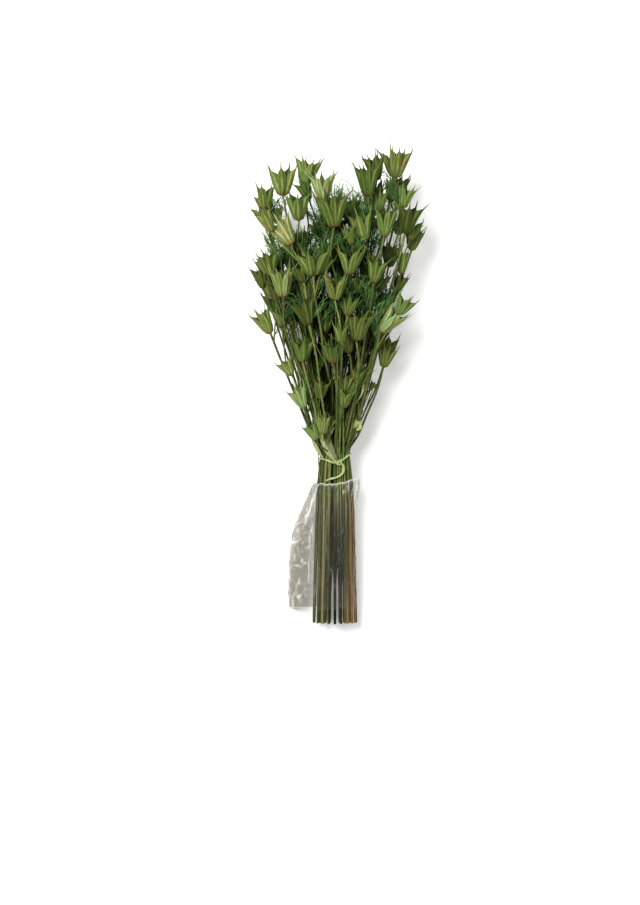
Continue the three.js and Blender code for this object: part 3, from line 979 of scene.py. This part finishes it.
for name, plant in zip(stem_nodes, plants):
    right, up = 1000 * (plant["base"].x - TIE.x), 1000 * (plant["base"].y - TIE.y)
    tint = rng.uniform(0.12, 0.68)
    if plant["base"].z > 0.07 and min(math.hypot(right - x, up - y) for x, y in PALE_HEADS) < NEAR:
        tint += PALER
    elif min(math.hypot(right - x, up - y) for x, y in DARK_HEADS) < NEAR:
        tint -= DARKER
    thick = rng.uniform(0.78, 1.15)
    radii = [STEM_RADIUS + (STEM_TOP_RADIUS - STEM_RADIUS) * i / 13 for i in range(14)]
    radii = [thick * r * rng.uniform(0.93, 1.08) for r in radii]
    pieces = [stem(plant["line"], radii, rng.random())]
    cut_end(pieces[0])
    pieces += seed_head(plant["base"], plant["axis"], plant["tips"], plant["size"], tint)
    crown = math.hypot(plant["base"].x - LEAFY_MIDDLE[0], plant["base"].y - LEAFY_MIDDLE[1])
    pieces += leaves_on(plant["line"], 0.6, 0.98, 5 if crown < 0.05 else 3)
    pieces += twigs_on(plant["line"], 4) + low_branches_of(plant["line"], 4)
    pieces += plant["extras"]
    for shoot in plant["shoots"]:
        radii = [STEM_TOP_RADIUS, STEM_TOP_RADIUS * 0.7, STEM_TOP_RADIUS]
        pieces.append(stem(shoot["line"], radii, rng.random()))
        pieces += seed_head(shoot["base"], shoot["axis"], shoot["tips"], shoot["size"], shoot["tint"])
        pieces += leaves_on(shoot["line"], 0.1, 0.95, 2)
    piece = joined(pieces, name.replace("seed_stem", "plant"))
    for vertex in piece.data.vertices:
        vertex.co.z = max(vertex.co.z, ABOVE_FLOOR)
    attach(piece, "root")
    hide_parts(name)

# --- The raffia tie ---------------------------------------------------------------------------
# One strand goes twice round the neck and is knotted on top, where it dips towards the cut ends.
# On the right it lies higher up the stems.
LOOP_RADIUS = 0.0165
KNOT_TURN = 80
DIP_TURN = math.radians(84)
DIP = 0.0075
RISE_ON_THE_RIGHT = 0.0026


def round_the_neck(turn, out, lower):
    """A point of the loop, turn degrees round from the right."""
    turn = math.radians(turn)
    dip = math.exp(-((math.remainder(turn - DIP_TURN, 2 * math.pi) / 0.7) ** 2))
    return TIE + Vector((
        (LOOP_RADIUS + out) * math.cos(turn),
        RISE_ON_THE_RIGHT * (1 + math.cos(turn)) - DIP * dip - lower,
        (LOOP_RADIUS + out) * math.sin(turn),
    ))


def wrap(place, long, wide, tilt):
    """A small turn of raffia round the strands at the knot."""
    line = []
    for i in range(17):
        turn = 2 * math.pi * i / 16
        spot = Vector((0.0012 * math.sin(turn * 2), wide * math.cos(turn), long * math.sin(turn)))
        spot.rotate(Matrix.Rotation(math.radians(tilt), 3, "Z"))
        line.append(place + spot)
    return strand("raffia_wrap", line, [0.0008, 0.0011, 0.0009], raffia_outline)


knot = round_the_neck(KNOT_TURN, 0.0009, 0)
first_turn = [
    round_the_neck(10 * i, 0.0001 * math.sin(3 * i), 0.0003 * math.sin(i))
    for i in range(37)
]
second_turn = [
    round_the_neck(KNOT_TURN + 10 * i, 0.0007, 0.0012 * math.sin(math.radians(5 * i)))
    for i in range(37)
]
stub = [knot + Vector(spot) for spot in (
    (0.001, -0.0008, 0), (-0.0022, 0.001, 0.0016), (-0.0058, 0.0034, 0.0004))]
turns = [
    strand("raffia_turn", first_turn, [0.0007, 0.0008, 0.0006, 0.0008, 0.0007], raffia_outline, 1.5),
    strand("raffia_turn", second_turn, [0.0008, 0.0005, 0.0006, 0.0005, 0.0008], raffia_outline, 2),
    wrap(knot, 0.002, 0.0029, 35),
    wrap(knot + Vector((0.0018, 0.0004, 0.0002)), 0.0021, 0.0025, -30),
    wrap(knot + Vector((-0.0022, 0.0002, 0.0001)), 0.0018, 0.0024, 62),
    strand("raffia_stub", through(stub, 4), [0.0011, 0.0009, 0.0004], raffia_outline, 0.5),
]
raffia_tie = joined(turns, "raffia_tie")
raffia_tie.data.materials.clear()
raffia_tie.data.materials.append(raffia)
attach(raffia_tie, "root")
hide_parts("raffia_loop")

# --- The film ---------------------------------------------------------------------------------
# Thin clear film is gathered round the stems, and its two edges meet in a loose fold that hangs
# out to the left. It is one sheet, creased lengthwise and crumpled at its rim.
FILM_TOP = -0.027
FILM_END = -0.160
FILM_FLAP_TURN = math.radians(204)
FILM_RADIUS = 0.01655
FILM_WIDENS = 0.25
FILM_WIDENS_OVER = 0.175
FOLD_REACH = 0.024
FILM_AROUND = 150
FILM_ALONG = 90


def bell(value, width):
    """One at zero, falling away on both sides."""
    return math.exp(-((value / width) ** 2))


def film_point(share, along):
    """A point of the film, and its marks: its creases with painted glints, at the rim, and in the loose
    fold.

    share runs round the film from edge to edge, and along runs down it from its rim.
    """
    y = FILM_TOP + (FILM_END - FILM_TOP) * along
    off = share * 2 * math.pi
    turn = FILM_FLAP_TURN - off
    off = min(off, 2 * math.pi - off)
    stems = FILM_RADIUS * (1 - FILM_WIDENS * y / FILM_WIDENS_OVER)
    loose = bell(off, 0.5)
    hung = crumple.noise(Vector((off * 5, along * 6, 2.2)))
    turn += loose * (0.1 * hung + 0.05 * abs(crumple.noise(Vector((off * 7, along * 8, 9.1)))))
    fold = FOLD_REACH * math.sin(min(1, 1.8 * along + 0.03) * 1.45) * bell(off, 0.34)
    folds = abs(crumple.noise(Vector((turn * 4.2, along * 1.6, 3.1))))
    small = abs(crumple.noise(Vector((turn * 11, along * 9, 7.7))))
    crease_and_fold_highlight = max(0.0, 1 - folds * 7) * 0.6 + max(0.0, 1 - small * 8) * 0.5
    crease_and_fold_highlight += max(0.0, 1 - abs(hung) * 9) * loose
    rumpled = bell(along, 0.12)
    right = bell(math.remainder(turn - 0.5, 2 * math.pi), 0.7)
    out = stems + 0.0002 + fold + 0.0011 * crease_and_fold_highlight + 0.0012 * folds
    out -= 0.0011 * (1 - rumpled) * bell(math.remainder(turn, 2 * math.pi), 0.6)
    out += rumpled * (0.0035 * right + 0.0018 * small + 0.0006 + 0.0045 * right * small)
    rim = 1 - min(1, along * 9)
    y += rim * (0.0062 * right + 0.0018 * crumple.noise(Vector((turn * 2.4, 0, 1))))
    y -= (1 - min(1, (1 - along) * 12)) * 0.004 * crumple.noise(Vector((turn * 2, 5, 1)))
    middle = TIE.z + 0.14 * y
    spot = Vector((TIE.x + out * math.cos(turn), TIE.y + y, middle + out * math.sin(turn)))
    spot = splayed(spot)
    # Painted highlight: a pale crease line is painted on the film along a fold that runs down and out
    # to the left, though the sheet has no fold there.
    down = (TIE.y - spot.y - 0.025) / 0.036
    if share < 0.35 and 0 < down < 1:
        crease_and_fold_highlight += 0.9 * bell(spot.x - TIE.x + 0.0165 + 0.0125 * down, 0.001)
    spot.z = max(spot.z, 0.0003 + 0.0006 * folds)
    # The crease mark is partly the film's own haze where it is creased and partly painted glints, made
    # stronger at the crumpled right of the rim and on the sides and underside away from the loose fold.
    sides = min(1.0, max(0.0, 1.2 - 1.8 * math.sin(turn)))
    shown = crease_and_fold_highlight * (0.5 + 3 * rumpled * right + 0.9 * sides * (1 - loose))
    return spot, min(1.0, shown), max(0.0, 1 - along * 60), loose


bpy.ops.object.select_all(action="DESELECT")
bpy.ops.mesh.primitive_grid_add(
    x_subdivisions=FILM_AROUND, y_subdivisions=FILM_ALONG, size=1, location=(0, 0, 0))
film = bpy.context.object
film.name = "film"
marks = ("crease_glint", "rim", "loose")
for mark in marks:
    film.data.attributes.new(mark, "FLOAT", "POINT")
for vertex in film.data.vertices:
    vertex.co, *values = film_point(vertex.co.x + 0.5, 0.5 - vertex.co.y)
    for mark, value in zip(marks, values):
        film.data.attributes[mark].data[vertex.index].value = value
bpy.ops.object.shade_smooth()


def film_material():
    """Clear film: its creases and its streaks and specks are partly hazy film and partly painted
    glints, and a white painted highlight runs along its rim.
    """
    material, shader, nodes, links = new_material("film", 0.14, 0.8)
    place = nodes.new("ShaderNodeTexCoord").outputs["Object"]
    streaks = noise(nodes, links, stretched(nodes, links, place, (260, 60, 260)), 1.0)
    specks = noise(nodes, links, place, 420, 2.0)
    haze_and_glints = between(nodes, links, value_of(nodes, "crease_glint"), 0.2, 1.0, 0.0, 0.75)
    # Streaks and specks, partly flecks in the film itself and partly painted glints, make it paler and
    # less clear.
    streak_glints = between(nodes, links, streaks, 0.58, 0.75, 0.0, 0.5)
    haze_and_glints = blended(nodes, links, streak_glints, haze_and_glints, (0.55, 0.55, 0.55))
    speck_glints = between(nodes, links, specks, 0.66, 0.74, 0.0, 0.6)
    haze_and_glints = blended(nodes, links, speck_glints, haze_and_glints, (0.6, 0.6, 0.6))
    # Painted highlight: a white line along the rim of the film.
    haze_and_glints = blended(nodes, links, value_of(nodes, "rim"), haze_and_glints, (0.95, 0.95, 0.95))
    alone = between(nodes, links, value_of(nodes, "loose"), 0.1, 0.8, 0.0, 0.54)
    hazy = between(nodes, links, haze_and_glints, 0.0, 1.0, 0.08, 0.6)
    links.new(calculated(nodes, links, "ADD", hazy, alone), shader.inputs["Alpha"])
    colour = ramp(nodes, links, haze_and_glints, [
        (0.0, (0.24, 0.22, 0.17)), (0.4, (0.55, 0.55, 0.48)), (1.0, (0.92, 0.93, 0.9)),
    ])
    links.new(colour, shader.inputs["Base Color"])
    bumped(nodes, links, shader, specks, 0.3, 0.0004)
    return material


film.data.materials.append(film_material())
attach(film, "root")
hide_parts("film_sleeve")

# --- The floor and the light ------------------------------------------------------------------
# A pale matt floor, lit a little from below as on a light table, a large soft lamp from the upper
# left and a weaker one from the right, in a pale room.
FLOOR_SIZE = 8
bpy.ops.mesh.primitive_plane_add(size=FLOOR_SIZE, location=(0, 0, 0))
floor = bpy.context.object
floor.name = "floor"
material, shader, nodes, links = new_material("floor", 0.9)
shader.inputs["Base Color"].default_value = (0.86, 0.86, 0.85, 1)
shader.inputs["Emission Color"].default_value = (1, 1, 0.99, 1)
shader.inputs["Emission Strength"].default_value = 0.22
floor.data.materials.append(material)


def soft_lamp(name, place, power, size):
    """A square area lamp that faces the middle of the bunch."""
    bpy.ops.object.light_add(type="AREA", location=place)
    lamp = bpy.context.object
    lamp.name = name
    lamp.data.energy = power
    lamp.data.size = size
    lamp.rotation_euler = Vector(place).to_track_quat("Z", "Y").to_euler()
    return lamp


soft_lamp("key_lamp", (-0.55, 0.45, 1.7), 45, 0.75)
soft_lamp("fill_lamp", (1.0, -0.3, 1.5), 9, 1.2)
world = bpy.data.worlds.new("room")
bpy.context.scene.world = world
world.use_nodes = True
world.node_tree.nodes["Background"].inputs["Color"].default_value = (1, 0.99, 0.97, 1)
world.node_tree.nodes["Background"].inputs["Strength"].default_value = 0.33
bpy.context.scene.view_settings.view_transform = "Standard"

for form in [raffia_outline, thread_outline, stem_outline, strip_outline, *follicle_forms, *leaf_forms]:
    bpy.data.objects.remove(form)
